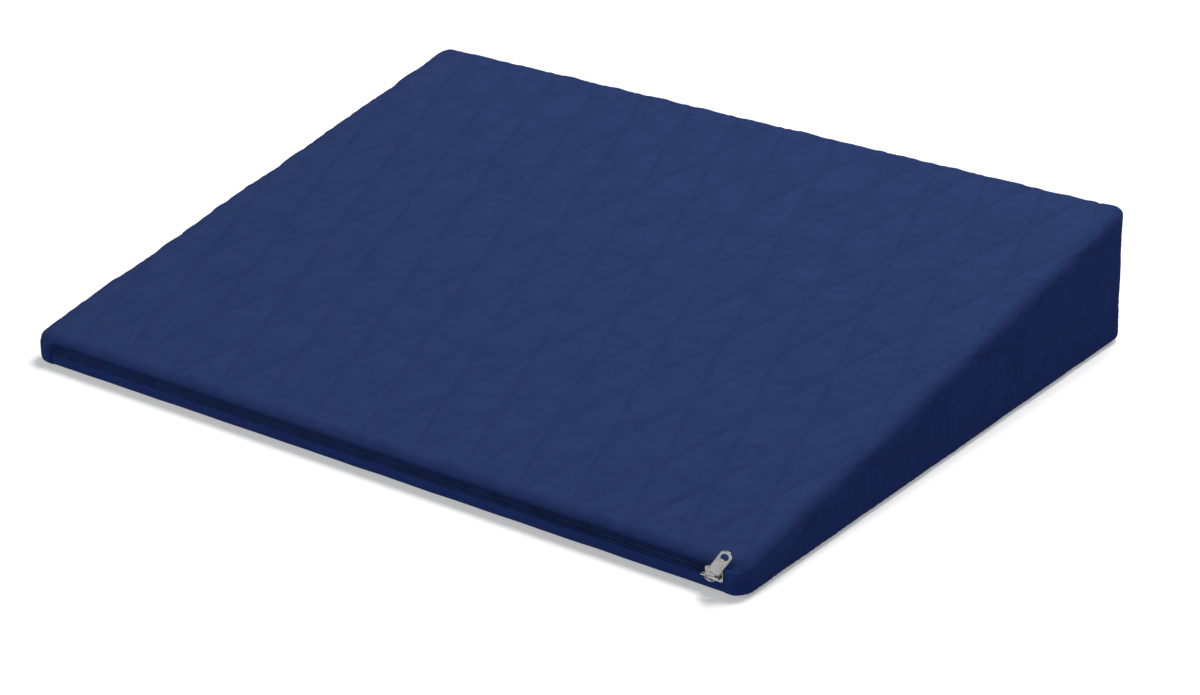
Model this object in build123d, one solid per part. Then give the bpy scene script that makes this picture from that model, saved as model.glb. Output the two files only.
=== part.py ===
from build123d import *
import math
import os

# A low foam wedge cushion in a quilted zip-off cover. Millimetres, +Z up, +X to the right along
# the width, +Y towards the high end. The origin is the centre of the base. One quilted piece makes
# the top and both sides, and a second one the back. The zip is along the low front edge, and its
# slider is parked at the right-hand end.

# Driving dimensions of the wedge
WIDTH = 600.0
DEPTH = 450.0
BACK_HEIGHT = 98.0
FRONT_HEIGHT = 21.0
CORNER_RADIUS = 10.0  # of the upright corners, in plan
EDGE_RADIUS = 7.0  # of the rounded edge all round the top
MITRE = 20.0  # how far the panels' dividing planes reach past the corners, both ways
RIM = 3.0  # how far the top turns down over the back and the zip, to its seam

# Cloth, thread and tape
FACE = 0.5  # outer fabric
BACKING = 0.3  # fabric on the inner side of the wadding
WADDING = 2.1
FRONT_GAP = 3.0  # from the front face to the foam, where the slider's inner plate runs
BASE_FABRIC = 0.6
THREAD = 0.5
TAPE = 0.5

# The zip, about its own centre line on the front face
ZIP_HEIGHT = 13.4
ZIP_HALF_LENGTH = 288.0
STRIP_TOP = 9.9  # folded edge of the fabric strip below the zip
COIL_WIDTH = 2.0
COIL_THICKNESS = 1.6
PARTING = 1.0  # from the centre line to each coil row
STOP_LENGTH = 2.0
STITCH_LENGTH = 3.5
STITCH_GAP = 1.0
STITCH_INSET = 1.8  # of the stitching from the strip's folded edge
RUNNING_GAP = 0.3  # slider to tape and coil

# The slider, along the zip
SLIDER_X = 279.0
SLIDER_LENGTH = 13.0
MOUTH_HALF_WIDTH = 4.3
TAIL_HALF_WIDTH = 4.0
SHOULDER = 1.0  # where the slider reaches its full width, from its middle
FLANGE = 0.65
PLATE = 1.2
INNER_PLATE = 1.0
PLATE_CORNER = 1.4
PLATE_EDGE = 0.5
POST_START = 1.0  # of the diamond post between the plates, from the slider's middle
POST_END = 5.6
POST_HALF_WIDTH = 0.65
BRIDGE_HEIGHT = 6.2  # of the bridge bar's centre above the front face
BRIDGE_RADIUS = 0.55
BRIDGE_HALF_LENGTH = 5.8
FOOT = 1.0

# The pull tab, which lies back over the top edge and tips to the right
TAB_LENGTH = 23.5
TAB_WIDTH = 8.0
TAB_THICKNESS = 1.1
TAB_END = 2.8  # from the bridge bar's centre to the tab's near end
TAB_X = SLIDER_X  # where the tab hangs on the bridge bar
TAB_CORNER = 3.6
TAB_CHAMFER = 0.2
TAB_RIM = 1.1  # width of the raised rim
TAB_RECESS = 0.25
WINDOW_WIDTH = 6.0
WINDOW_LENGTH = 3.8
WINDOW_CORNER = 0.8
WINDOW_MIDDLE = 0.1  # from the bridge bar's centre
PULL_HOLE_RADIUS = 2.5
PULL_HOLE_FROM_TIP = 4.2
TAB_DIRECTION = Vector(0.50, 0.24, 0.84).normalized()
TAB_FACING = Vector(0.46, -0.85, 0.10)

# Quilting of the top: wavy rows from front to back, each the mirror of its neighbour
QUILT_ROWS = 28
QUILT_PITCH = 21.3
QUILT_SHIFT = -2.5  # of the whole pattern from the middle
QUILT_WAVE = 9.6
QUILT_PERIOD = 134.0
QUILT_PHASE = 65.0  # from the front edge to the first crossing point
QUILT_MARGIN = 9.0

SLOPE = math.atan2(BACK_HEIGHT - FRONT_HEIGHT, DEPTH)
REACH = 60.0  # how far the cutting shapes run past the wedge


class Layer:
    """One boundary between layers: how far it lies inside the cover on each side."""

    def __init__(self, top, side, front, base, edge):
        self.top, self.side, self.front, self.base, self.edge = top, side, front, base, edge


WADDED = FACE + WADDING
LINED = WADDED + BACKING
OUTSIDE = Layer(0, 0, 0, 0, EDGE_RADIUS)
UNDER_FACE = Layer(FACE, FACE, FACE, BASE_FABRIC, EDGE_RADIUS - FACE)
UNDER_WADDING = Layer(WADDED, WADDED, FRONT_GAP - BACKING, BASE_FABRIC, EDGE_RADIUS / 2)
UNDER_BACKING = Layer(LINED, LINED, FRONT_GAP, BASE_FABRIC, EDGE_RADIUS / 2 - BACKING)


def top_height(y, depth=0.0):
    """Height of the plane that lies `depth` under the sloping top, at the place y."""
    return FRONT_HEIGHT + math.tan(SLOPE) * (y + DEPTH / 2) - depth / math.cos(SLOPE)


def wedge(layer):
    """The wedge inside one layer boundary, with round upright corners and a round top edge."""
    front_y = -DEPTH / 2 + layer.front
    back_y = DEPTH / 2 - layer.side
    outline = Polyline(
        (front_y, layer.base),
        (back_y, layer.base),
        (back_y, top_height(back_y, layer.top)),
        (front_y, top_height(front_y, layer.top)),
        close=True,
    )
    solid = extrude(Plane.YZ * make_face(outline), WIDTH / 2 - layer.side, both=True)
    solid = fillet(solid.edges().filter_by(Axis.Z), CORNER_RADIUS - layer.side)
    top_face = solid.faces().sort_by(Axis.Z)[-1]
    return fillet(top_face.edges(), layer.edge)


def between(lower, upper):
    """Everything between two planes that slope with the top, given as depths under it."""
    y0, y1 = -DEPTH / 2 - REACH, DEPTH / 2 + REACH
    outline = Polyline(
        (y0, top_height(y0, lower)),
        (y1, top_height(y1, lower)),
        (y1, top_height(y1, upper)),
        (y0, top_height(y0, upper)),
        close=True,
    )
    return extrude(Plane.YZ * make_face(outline), WIDTH / 2 + REACH, both=True)


def under_rim(bottom):
    """Everything above the height `bottom` and below the top seam's thread."""
    y0, y1 = -DEPTH / 2 - REACH, DEPTH / 2 + REACH
    depth = RIM + THREAD
    outline = Polyline(
        (y0, bottom),
        (y1, bottom),
        (y1, top_height(y1, depth)),
        (-DEPTH / 2, top_height(-DEPTH / 2, depth)),
        (y0, top_height(-DEPTH / 2, depth)),
        close=True,
    )
    return extrude(Plane.YZ * make_face(outline), WIDTH / 2 + REACH, both=True)


def column(*points):
    """An upright prism through the whole height, over a plan outline."""
    return extrude(make_face(Polyline(*points, close=True)), 2 * BACK_HEIGHT)


def back_column():
    """Plan region of the back panel: it ends at the two back corners' mitres."""
    x, y = WIDTH / 2, DEPTH / 2
    out_x, out_y, in_x, in_y = x + MITRE, y + MITRE, x - MITRE, y - MITRE
    return column((out_x, out_y), (in_x, in_y), (-in_x, in_y), (-out_x, out_y))


def side_column(sign):
    """Plan region of one side, which also turns round the front corner to the zip."""
    x, y = WIDTH / 2, DEPTH / 2
    out_x, out_y, in_x, in_y = x + MITRE, y + MITRE, x - MITRE, y - MITRE
    return column(
        (sign * out_x, out_y),
        (sign * in_x, in_y),
        (sign * in_x, -in_y),
        (sign * ZIP_HALF_LENGTH, -in_y),
        (sign * ZIP_HALF_LENGTH, -out_y),
        (sign * out_x, -out_y),
    )


def zip_column():
    """Plan region of the front edge between the ends of the zip."""
    x, y = ZIP_HALF_LENGTH, DEPTH / 2
    return column((x, -y - MITRE), (x, MITRE - y), (-x, MITRE - y), (-x, -y - MITRE))


def corner_slots():
    """Thin upright slots where the sides meet the back panel."""
    x, y, half = WIDTH / 2, DEPTH / 2, THREAD / 2 * math.sqrt(2)
    out_x, out_y, in_x, in_y = x + MITRE, y + MITRE, x - MITRE, y - MITRE
    return [
        column(
            (sign * (out_x + half), out_y),
            (sign * (in_x + half), in_y),
            (sign * (in_x - half), in_y),
            (sign * (out_x - half), out_y),
        )
        for sign in (-1, 1)
    ]


def on_front(shape, x=0.0, z=ZIP_HEIGHT):
    """Places a shape drawn with x along the zip, y up and z out of the front face."""
    return Plane.XZ.offset(DEPTH / 2) * Pos(x, z, 0) * shape


def bar(x0, x1, y0, y1, z0, z1):
    """A block in the front face's own axes, given by its limits."""
    middle = Pos((x0 + x1) / 2, (y0 + y1) / 2, (z0 + z1) / 2)
    return middle * Box(x1 - x0, y1 - y0, z1 - z0)


def save(name, shape):
    """Writes one piece, or one group of like pieces, to its own STEP file."""
    solids = shape.solids()
    whole = solids[0] if len(solids) == 1 else Compound(children=list(solids))
    whole.label = name
    export_step(whole, f"parts/{name}.step")
    print(name, len(solids), round(sum(s.volume for s in solids), 1))


def make_cover_and_core():
    """The foam core and every layer of the quilted panels round it."""
    outside, under_face = wedge(OUTSIDE), wedge(UNDER_FACE)
    under_wadding, core = wedge(UNDER_WADDING), wedge(UNDER_BACKING)
    skins = {
        "face_fabric": outside - under_face,
        "wadding": under_face - under_wadding,
        "backing": under_wadding - core,
    }
    slots = corner_slots()
    floor_gap = slab(-REACH, BASE_FABRIC + THREAD)
    sides = side_column(-1) - slots[0] + (side_column(1) - slots[1]) - floor_gap
    wrap = between(RIM, -REACH) + sides
    back = back_column() - slots[0] - slots[1]
    walls = under_rim(BASE_FABRIC + THREAD)
    save("foam_core", core)
    for layer, skin in skins.items():
        save(f"top_and_sides_{layer}", skin & wrap)
        save(f"back_{layer}", skin & walls & back)
    face = skins["face_fabric"]
    save("base_panel", outside & column(*base_corners()) & slab(0, BASE_FABRIC))
    save("top_seam_thread", face & between(RIM + THREAD, RIM) & (back_column() + zip_column()))
    save("base_seam_thread", face & slab(BASE_FABRIC, BASE_FABRIC + THREAD))
    corners = [(face & walls & slot).solid() for slot in slots]
    save("corner_seam_thread", Compound(children=corners))


def base_corners():
    """Corners of a plan rectangle that holds the whole base."""
    x, y = WIDTH / 2 + 1, DEPTH / 2 + 1
    return (x, y), (-x, y), (-x, -y), (x, -y)


def slab(z0, z1):
    """Everything between two heights."""
    return Pos(0, 0, (z0 + z1) / 2) * Box(WIDTH + REACH, DEPTH + REACH, z1 - z0)


def make_quilting():
    """The rows of quilting thread on the top, as low ribbons that follow the wave."""
    length = DEPTH / math.cos(SLOPE)
    start, end = QUILT_MARGIN, length - QUILT_MARGIN
    steps = round((end - start) / (QUILT_PERIOD / 8))
    along = [start + (end - start) * k / steps for k in range(steps + 1)]
    first = QUILT_SHIFT - (QUILT_ROWS - 1) / 2 * QUILT_PITCH
    top_plane = Plane(
        origin=(0, -DEPTH / 2, FRONT_HEIGHT),
        x_dir=(1, 0, 0),
        z_dir=(0, -math.sin(SLOPE), math.cos(SLOPE)),
    )
    flat_part = Pos(0, length / 2, 0) * Box(WIDTH - 2 * QUILT_MARGIN, length, 2 * THREAD)
    rows = []
    for row in range(QUILT_ROWS):
        side = -1 if row % 2 else 1
        middle = first + row * QUILT_PITCH
        wave = [
            side * QUILT_WAVE * math.cos(2 * math.pi * (v - QUILT_PHASE) / QUILT_PERIOD)
            for v in along
        ]
        left = [(middle + w - THREAD / 2, v) for w, v in zip(wave, along)]
        right = [(middle + w + THREAD / 2, v) for w, v in zip(wave, along)]
        edges = [Spline(*left), Line(left[-1], right[-1]), Spline(*right), Line(left[0], right[0])]
        ribbon = extrude(make_face(edges), THREAD / 2) & flat_part
        rows += (top_plane * ribbon).solids()
    save("top_quilting_thread", Compound(children=rows))


def make_zip():
    """The zip's two tapes and coils, its stops, the strip below it and their stitching."""
    half, edge = ZIP_HALF_LENGTH, PARTING
    tape_out, tape_in = -BASE_FABRIC, -BASE_FABRIC - TAPE
    strip_bottom = BASE_FABRIC + THREAD - ZIP_HEIGHT
    strip_top = STRIP_TOP - ZIP_HEIGHT
    tape_top = top_height(-DEPTH / 2, RIM + THREAD) - ZIP_HEIGHT
    coil_out = tape_out + COIL_THICKNESS
    save("front_strip", on_front(bar(-half, half, strip_bottom, strip_top, tape_out, 0)))
    save("zip_lower_tape", on_front(bar(-half, half, strip_bottom, -edge, tape_in, tape_out)))
    save("zip_upper_tape", on_front(bar(-half, half, edge, tape_top, tape_in, tape_out)))
    coil_end = half - STOP_LENGTH
    far = edge + COIL_WIDTH
    coil = bar(-coil_end, coil_end, edge, far, tape_out, coil_out)
    save("zip_upper_coil", on_front(coil))
    save("zip_lower_coil", on_front(mirror(coil, Plane.XZ)))
    stops = [bar(coil_end, half, edge, far, tape_out, coil_out)]
    stops.append(mirror(stops[0], Plane.XZ))
    save("zip_top_stops", on_front(Compound(children=[s.solid() for s in stops])))
    save("zip_bottom_stop", on_front(bar(-half, -coil_end, -far, far, tape_out, coil_out)))
    pitch = STITCH_LENGTH + STITCH_GAP
    count = int(2 * half / pitch)
    row_z = STRIP_TOP - ZIP_HEIGHT - STITCH_INSET
    stitch = bar(0, STITCH_LENGTH, row_z, row_z + THREAD, 0, THREAD / 2)
    first = -(count * pitch - STITCH_GAP) / 2
    stitches = [Pos(first + k * pitch, 0, 0) * stitch for k in range(count)]
    save("zip_tape_stitching", on_front(Compound(children=[s.solid() for s in stitches])))


def slider_outline(inset=0.0):
    """The slider's plan: a narrow tail, and a wide mouth where the two coils part."""
    tail, mouth = TAIL_HALF_WIDTH - inset, MOUTH_HALF_WIDTH - inset
    back, front = -SLIDER_LENGTH / 2, SLIDER_LENGTH / 2
    half = [(back, tail), (SHOULDER, mouth), (front, mouth)]
    other_half = [(x, -y) for x, y in reversed(half)]
    return make_face(Polyline(*half, *other_half, close=True))


def make_slider():
    """The slider: two plates joined by a diamond post, side flanges, and the bridge over it."""
    tape_out = -BASE_FABRIC
    coil_out = tape_out + COIL_THICKNESS
    plate_low = coil_out + RUNNING_GAP
    plate_top = plate_low + PLATE
    inner_top = tape_out - TAPE - RUNNING_GAP
    outer = extrude(slider_outline(), PLATE)
    outer = fillet(outer.edges().filter_by(Axis.Z), PLATE_CORNER)
    outer = fillet(outer.faces().sort_by(Axis.Z)[-1].edges(), PLATE_EDGE)
    flanges = extrude(slider_outline() - slider_outline(FLANGE), plate_low - RUNNING_GAP)
    flanges = flanges & Box(SLIDER_LENGTH - 2 * PLATE_CORNER, 4 * MOUTH_HALF_WIDTH, 4 * PLATE)
    inner = extrude(slider_outline(), INNER_PLATE)
    inner = fillet(inner.edges().filter_by(Axis.Z), PLATE_CORNER)
    post_middle = (POST_START + POST_END) / 2
    post_side = [(post_middle, POST_HALF_WIDTH), (POST_END, 0), (post_middle, -POST_HALF_WIDTH)]
    post_outline = make_face(Polyline((POST_START, 0), *post_side, close=True))
    post = extrude(post_outline, plate_low - inner_top + PLATE)
    bridge = Rot(0, 90, 0) * Cylinder(BRIDGE_RADIUS, 2 * BRIDGE_HALF_LENGTH)
    foot_reach = BRIDGE_HEIGHT - plate_top + PLATE / 2
    foot = Box(FOOT, 2 * BRIDGE_RADIUS, foot_reach)
    foot_x = BRIDGE_HALF_LENGTH
    foot_z = BRIDGE_HEIGHT - foot_reach / 2
    slider = Pos(0, 0, plate_low) * outer
    slider += Pos(0, 0, RUNNING_GAP) * flanges
    slider += Pos(0, 0, inner_top - INNER_PLATE) * inner
    slider += Pos(0, 0, inner_top - PLATE / 2) * post
    slider += Pos(0, 0, BRIDGE_HEIGHT) * bridge
    knuckle = Rot(0, 90, 0) * Cylinder(BRIDGE_RADIUS, FOOT)
    for sign in (-1, 1):
        slider += Pos(sign * foot_x, 0, foot_z) * foot
        slider += Pos(sign * foot_x, 0, BRIDGE_HEIGHT) * knuckle
    save("zip_slider", on_front(slider, x=SLIDER_X))


def tab_plane():
    """Plane of the pull tab: x across it, y along it, z out of its face, at the bridge bar."""
    origin = (TAB_X, -DEPTH / 2 - BRIDGE_HEIGHT, ZIP_HEIGHT)
    facing = TAB_FACING - TAB_DIRECTION * TAB_FACING.dot(TAB_DIRECTION)
    return Plane(origin=origin, x_dir=TAB_DIRECTION.cross(facing), z_dir=facing)


def make_pull_tab():
    """The pull tab: a rounded plate with a raised rim, a window for the bridge and a round hole."""
    middle = TAB_LENGTH / 2 - TAB_END
    outline = Pos(0, middle) * RectangleRounded(TAB_WIDTH, TAB_LENGTH, TAB_CORNER)
    body = extrude(outline, TAB_THICKNESS / 2, both=True)
    body = chamfer(body.faces().filter_by(Axis.Z).edges(), TAB_CHAMFER)
    hole_y = TAB_LENGTH - TAB_END - PULL_HOLE_FROM_TIP
    panel_y0 = WINDOW_MIDDLE + WINDOW_LENGTH / 2 + TAB_RIM
    panel_y1 = hole_y - PULL_HOLE_RADIUS - TAB_RIM
    panel = RectangleRounded(TAB_WIDTH - 2 * TAB_RIM, panel_y1 - panel_y0, WINDOW_CORNER)
    for sign in (-1, 1):
        level = sign * TAB_THICKNESS / 2
        body -= Pos(0, (panel_y0 + panel_y1) / 2, level) * extrude(panel, TAB_RECESS, both=True)
    window = RectangleRounded(WINDOW_WIDTH, WINDOW_LENGTH, WINDOW_CORNER)
    body -= Pos(0, WINDOW_MIDDLE) * extrude(window, TAB_THICKNESS, both=True)
    body -= Pos(0, hole_y) * Cylinder(PULL_HOLE_RADIUS, 2 * TAB_THICKNESS)
    save("zip_pull_tab", tab_plane() * body)
    hole = tab_plane().from_local_coords(Vector(0, hole_y, 0))
    print("pull hole", [round(v, 4) for v in hole], [round(v, 9) for v in tab_plane().z_dir])


os.makedirs("parts", exist_ok=True)
make_cover_and_core()
make_quilting()
make_zip()
make_slider()
make_pull_tab()
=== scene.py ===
import math

import bmesh
import bpy
import numpy as np
from mathutils import Matrix, Vector


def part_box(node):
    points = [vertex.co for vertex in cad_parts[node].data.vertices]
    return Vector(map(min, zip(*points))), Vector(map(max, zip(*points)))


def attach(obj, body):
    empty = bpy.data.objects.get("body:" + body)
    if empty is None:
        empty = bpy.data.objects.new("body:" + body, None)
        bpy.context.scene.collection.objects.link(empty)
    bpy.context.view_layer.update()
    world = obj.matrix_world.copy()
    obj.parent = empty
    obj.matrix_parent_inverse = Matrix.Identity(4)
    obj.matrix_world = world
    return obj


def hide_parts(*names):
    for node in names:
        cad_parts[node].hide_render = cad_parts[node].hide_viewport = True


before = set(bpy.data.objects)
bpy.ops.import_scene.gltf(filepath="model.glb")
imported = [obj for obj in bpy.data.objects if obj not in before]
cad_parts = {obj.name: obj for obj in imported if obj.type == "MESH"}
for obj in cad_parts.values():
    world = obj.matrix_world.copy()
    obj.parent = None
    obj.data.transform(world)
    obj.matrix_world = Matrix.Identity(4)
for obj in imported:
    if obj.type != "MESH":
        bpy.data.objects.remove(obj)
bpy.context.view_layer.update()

# Everything is in metres, in the frame's own axes: +X right, +Y towards the high back, +Z up.
MM = 0.001

# The wedge, as the frame has it
BASE_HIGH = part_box("base_panel")[1]
ROWS_LOW, ROWS_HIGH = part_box("top_quilting_thread")
STRIP_LOW, STRIP_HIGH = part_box("front_strip")
UPPER_TAPE_LOW, UPPER_TAPE_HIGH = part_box("zip_upper_tape")
LOWER_TAPE_LOW, LOWER_TAPE_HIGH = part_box("zip_lower_tape")
UPPER_COIL_LOW, UPPER_COIL_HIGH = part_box("zip_upper_coil")
LOWER_COIL_LOW, LOWER_COIL_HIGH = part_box("zip_lower_coil")
SLIDER_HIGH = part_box("zip_slider")[1]
HALF_WIDTH = BASE_HIGH.x
HALF_DEPTH = BASE_HIGH.y
RISE = (ROWS_HIGH.z - ROWS_LOW.z) / (ROWS_HIGH.y - ROWS_LOW.y)
SLOPE = math.atan(RISE)
ZIP_HALF = STRIP_HIGH.x
ZIP_Z = (UPPER_COIL_LOW.z + LOWER_COIL_HIGH.z) / 2
ZIP_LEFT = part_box("zip_bottom_stop")[1].x + 2.7 * MM  # where the cover hides the zip's left end
ZIP_RIGHT = SLIDER_HIGH.x + 0.5 * MM

# The cover's rounded edges
EDGE_R = 7.0 * MM
CORNER_R = 10.0 * MM
FOOT_R = 5.0 * MM  # where the sides roll under to the base
RIM_ANGLE = math.radians(62)  # how far round the edge the top's seam is
RIM_RUN = EDGE_R * RIM_ANGLE
CORNER_IN = CORNER_R - EDGE_R
ARC_X, ARC_Y = HALF_WIDTH - CORNER_R, HALF_DEPTH - CORNER_R  # the centres of the corners' arcs
REACH_X, REACH_Y = HALF_WIDTH - EDGE_R + RIM_RUN, HALF_DEPTH - EDGE_R + RIM_RUN  # the top's rim
CORNER_SEAM = (CORNER_IN + RIM_RUN) * math.sqrt(0.5)  # a back corner's seam, from the arc's centre
FLOOR_GAP = 0.4 * MM
MIDDLE_POINT = Vector((0, 0, BASE_HIGH.z + 20 * MM))

# How far seams draw the fabric in, and the layers under it, all off the plain surface
TOP_SEAM_DIP = 1.4 * MM
FRONT_SEAM_DIP = 0.2 * MM  # over the zip, so that the slider's back plate stays under the fabric
BASE_SEAM_DIP = 0.9 * MM
CORNER_SEAM_DIP = 0.9 * MM
SEAM_REACH = 2.6 * MM  # how far from a seam the fabric is drawn in
LOWEST = -1.9 * MM  # as deep as the face fabric goes
OVER_ZIP_END = 2.5 * MM  # how far the fabric stands out over the zip's ends
WADDING_DEPTH = 0.9 * MM  # from the face fabric down to the wadding
PAST_EDGE = -1.8 * MM  # the wadding's height where the edge bends, at the most
BACKING_TOP = -2.55 * MM
HEM = 0.7 * MM  # how far the face fabric reaches past the layers it covers
HEM_DEPTH = -3.2 * MM
FOAM_TOP = -3.1 * MM
FOAM_FOOT = 1.2 * MM

# Quilting: wavy rows from front to back, each in antiphase with its neighbour
ROW_COUNT = 28
ROW_PITCH = 21.3 * MM
ROW_SHIFT = -2.5 * MM
WAVE = 9.6 * MM
WAVE_PERIOD = 134.0 * MM
WAVE_START = 65.0 * MM
SIDE_WAVE = 10.5 * MM  # the rows that show on the right-hand side
SIDE_WAVE_START = 36.0 * MM
FIRST_ROW = ROW_SHIFT - (ROW_COUNT - 1) / 2 * ROW_PITCH
SIDE_ROWS = 6
PUFF = 1.9 * MM  # height of a wide pillow over its stitches
PUFF_WIDTH = 15.0 * MM  # a narrower gap between rows puffs less
VALLEY = -0.85 * MM  # the stitches, below the plain surface
ROW_WANDER = 1.3 * MM
PUCKER = 0.2 * MM
PUCKER_LENGTH = 5.4 * MM
STITCH = 3.1 * MM
STITCH_GAP = 0.7 * MM
THREAD_R = 0.13 * MM
TAPE_GAP = 0.15 * MM  # each zip tape's edge, from the middle of the zip
COIL_PITCH = 1.2 * MM
COIL_WIRE = 0.31 * MM
COIL_OVERLAP = 0.3 * MM  # how far each coil's heads reach past the middle, between the other's
SEAM_STITCH = 2.6 * MM
SEAM_GAP = 0.6 * MM

# Cloth, and how fine the meshes are
CLOTH_FRAMES = 14
CLOTH_MOST = 1.2 * MM  # how far the cloth may move
CLOTH_LEAST = 0.15 * MM  # how far it may move inwards
COLUMNS_PER_GAP = 10
ROW_STEP = 2.3 * MM
SIDE_STEP = 1.7 * MM
LAYER_STEP = 5.0 * MM
FOAM_WALL_STEPS = 14

# The camera, fitted to the wedge's corners
CAMERA_PLACE = (1.254, -1.565, 0.923)
CAMERA_TURN = (38.26, 24.70, -1.76)  # azimuth, elevation and roll, in degrees
CAMERA_LENS = 96.06
WEDGE_MIDDLE = (0, 0, 0.03)


def top_z(y):
    """Height of the plain sloping top at the place y."""
    return ROWS_LOW.z + RISE * (y - ROWS_LOW.y)


# ---------------------------------------------------------------- smooth seeded unevenness


def waves(seed, count, shortest, longest):
    """A few random sine waves in two directions, for smooth unevenness that never changes."""
    rng = np.random.default_rng(seed)
    angle = rng.uniform(0, 2 * math.pi, count)
    length = np.exp(rng.uniform(math.log(shortest), math.log(longest), count))
    phase = rng.uniform(0, 2 * math.pi, count)
    return [
        (2 * math.pi * math.cos(turn) / size, 2 * math.pi * math.sin(turn) / size, start)
        for turn, size, start in zip(angle, length, phase)
    ]


def unevenness(u, v, table):
    """The sum of some waves at (u, v), from about -1 to 1."""
    total = sum(np.sin(ku * u + kv * v + p) for ku, kv, p in table)
    return total / math.sqrt(2 * len(table))


SLOW = waves(11, 9, 60 * MM, 190 * MM)
MIDDLE = waves(12, 12, 22 * MM, 60 * MM)
QUICK = waves(13, 16, 7 * MM, 16 * MM)
ROW_DRIFT = waves(14, 6, 90 * MM, 260 * MM)


# ---------------------------------------------------------------- quilting pattern


def row_position(row, v):
    """Where a quilting row runs: its distance across from the middle, at v along the slope."""
    sign = -1 if row % 2 else 1
    middle = FIRST_ROW + row * ROW_PITCH
    start, wave = WAVE_START, WAVE
    if row >= ROW_COUNT:
        # past the right-hand edge the fabric is pulled round, and its rows lie further on
        start, wave = SIDE_WAVE_START, SIDE_WAVE
        middle += 6 * MM * min(row - ROW_COUNT, 1)
    phase = 2 * math.pi * (v - start) / WAVE_PERIOD
    shape = (np.cos(phase) + 0.06 * np.cos(3 * phase)) / 1.06
    drift = ROW_WANDER * unevenness(row * 37 * MM + 0 * v, v, ROW_DRIFT)
    return middle + sign * wave * shape + drift


def all_rows(v):
    """Every row's position for an array of v, from left to right, kept in order."""
    rows = range(-SIDE_ROWS, ROW_COUNT + SIDE_ROWS)
    lines = np.stack([row_position(row, v) for row in rows])
    for k in range(1, len(lines)):
        lines[k] = np.maximum(lines[k], lines[k - 1] + 1.2 * MM)
    return lines


def relief(u, v, looseness=1.0):
    """How far the quilted fabric stands off the plain surface at (u, v), and how close a stitch is."""
    shape = np.broadcast(u, v).shape
    u, v = np.broadcast_to(u, shape).ravel(), np.broadcast_to(v, shape).ravel()
    lines = all_rows(v)
    right = np.clip((lines < u).sum(0), 1, len(lines) - 1)
    pick = np.arange(len(u))
    low, high = lines[right - 1, pick], lines[right, pick]
    gap = high - low
    across = np.clip((u - low) / gap, 0, 1)
    nearest = np.minimum(across, 1 - across) * gap
    crown = (4 * across * (1 - across)) ** 0.85
    puff = PUFF * (1 - np.exp(-gap / PUFF_WIDTH)) * crown
    away = 1 - np.exp(-nearest / (3.5 * MM))
    near = np.exp(-nearest / (4.5 * MM))
    uneven = 0.4 * MM * unevenness(u, v, MIDDLE) * away + 0.35 * MM * unevenness(u, v, SLOW)
    uneven = uneven + 0.07 * MM * unevenness(u, v, QUICK)
    # short puckers run out from the stitches, across the row
    pucker = PUCKER * np.sin(2 * math.pi * v / PUCKER_LENGTH + 5 * unevenness(u * 0.3, v * 0.3, QUICK))
    pucker = pucker * near * (1 - np.exp(-nearest / (0.8 * MM)))
    height = VALLEY + np.asarray(looseness).ravel() * (puff + uneven * away + pucker)
    return height.reshape(shape), np.exp(-nearest / (1.1 * MM)).reshape(shape)


# ---------------------------------------------------------------- the wedge's surface


def edge_place(x, y):
    """For points of the unrolled top: the nearest point of the edge's inner line, the way out
    from it, and how far past it they are. Inside the line the last is negative or zero."""
    centre = np.stack([np.clip(x, -ARC_X, ARC_X), np.clip(y, -ARC_Y, ARC_Y)], -1)
    off = np.stack([x, y], -1) - centre
    far = np.linalg.norm(off, axis=-1)
    way = off / np.maximum(far, 1e-9)[..., None]
    return centre, way, far - CORNER_IN


def round_corners(x, y):
    """Pulls the unrolled top's square corners in to round ones, so that its rim is even."""
    reach = CORNER_IN + RIM_RUN
    over_x = np.clip((np.abs(x) - ARC_X) / reach, 0, 1)
    over_y = np.clip((np.abs(y) - ARC_Y) / reach, 0, 1)
    pulled_x = over_x * np.sqrt(1 - over_y**2 / 2)
    pulled_y = over_y * np.sqrt(1 - over_x**2 / 2)
    x = np.where(over_x > 0, np.sign(x) * (ARC_X + reach * pulled_x), x)
    y = np.where(over_y > 0, np.sign(y) * (ARC_Y + reach * pulled_y), y)
    return x, y


def shell_point(centre, way, run, lift):
    """A point of the cover: `run` past the edge's inner line, over the edge, down the side and
    under to the base, standing `lift` off the plain surface."""
    run = np.asarray(run)
    bend = np.clip(run / EDGE_R, 0, math.pi / 2)
    out = np.where(run < 0, run, EDGE_R * np.sin(bend))
    plan = centre + way * (CORNER_IN + out)[..., None]
    height = top_z(plan[..., 1]) - FLOOR_GAP
    wall_end = EDGE_R * math.pi / 2 + height - EDGE_R - FOOT_R
    under = np.clip((run - wall_end) / FOOT_R, 0, math.pi / 2)
    drop = EDGE_R * (1 - np.cos(bend)) + np.clip(run - EDGE_R * math.pi / 2, 0, None)
    drop = np.where(under > 0, height - FOOT_R * (1 - np.sin(under)), drop)
    plan = plan - way * (FOOT_R * (1 - np.cos(under)))[..., None]
    top_normal = np.array([0, -math.sin(SLOPE), math.cos(SLOPE)])
    sideways = np.concatenate([way, np.zeros_like(way[..., :1])], -1)
    normal = top_normal * np.cos(bend)[..., None] + sideways * (np.sin(bend) * np.cos(under))[..., None]
    normal = normal - np.array([0, 0, 1.0]) * np.sin(under)[..., None]
    normal /= np.linalg.norm(normal, axis=-1)[..., None]
    point = np.concatenate([plan, (height + FLOOR_GAP - drop)[..., None]], -1)
    return point + normal * np.asarray(lift)[..., None]


def wall_length(centre, way):
    """How far it is from the edge's inner line, over the edge and down, to the base seam."""
    outline = centre + way * CORNER_R
    height = top_z(outline[..., 1]) - FLOOR_GAP
    return EDGE_R * math.pi / 2 + height - EDGE_R - FOOT_R + FOOT_R * math.pi / 2


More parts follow.
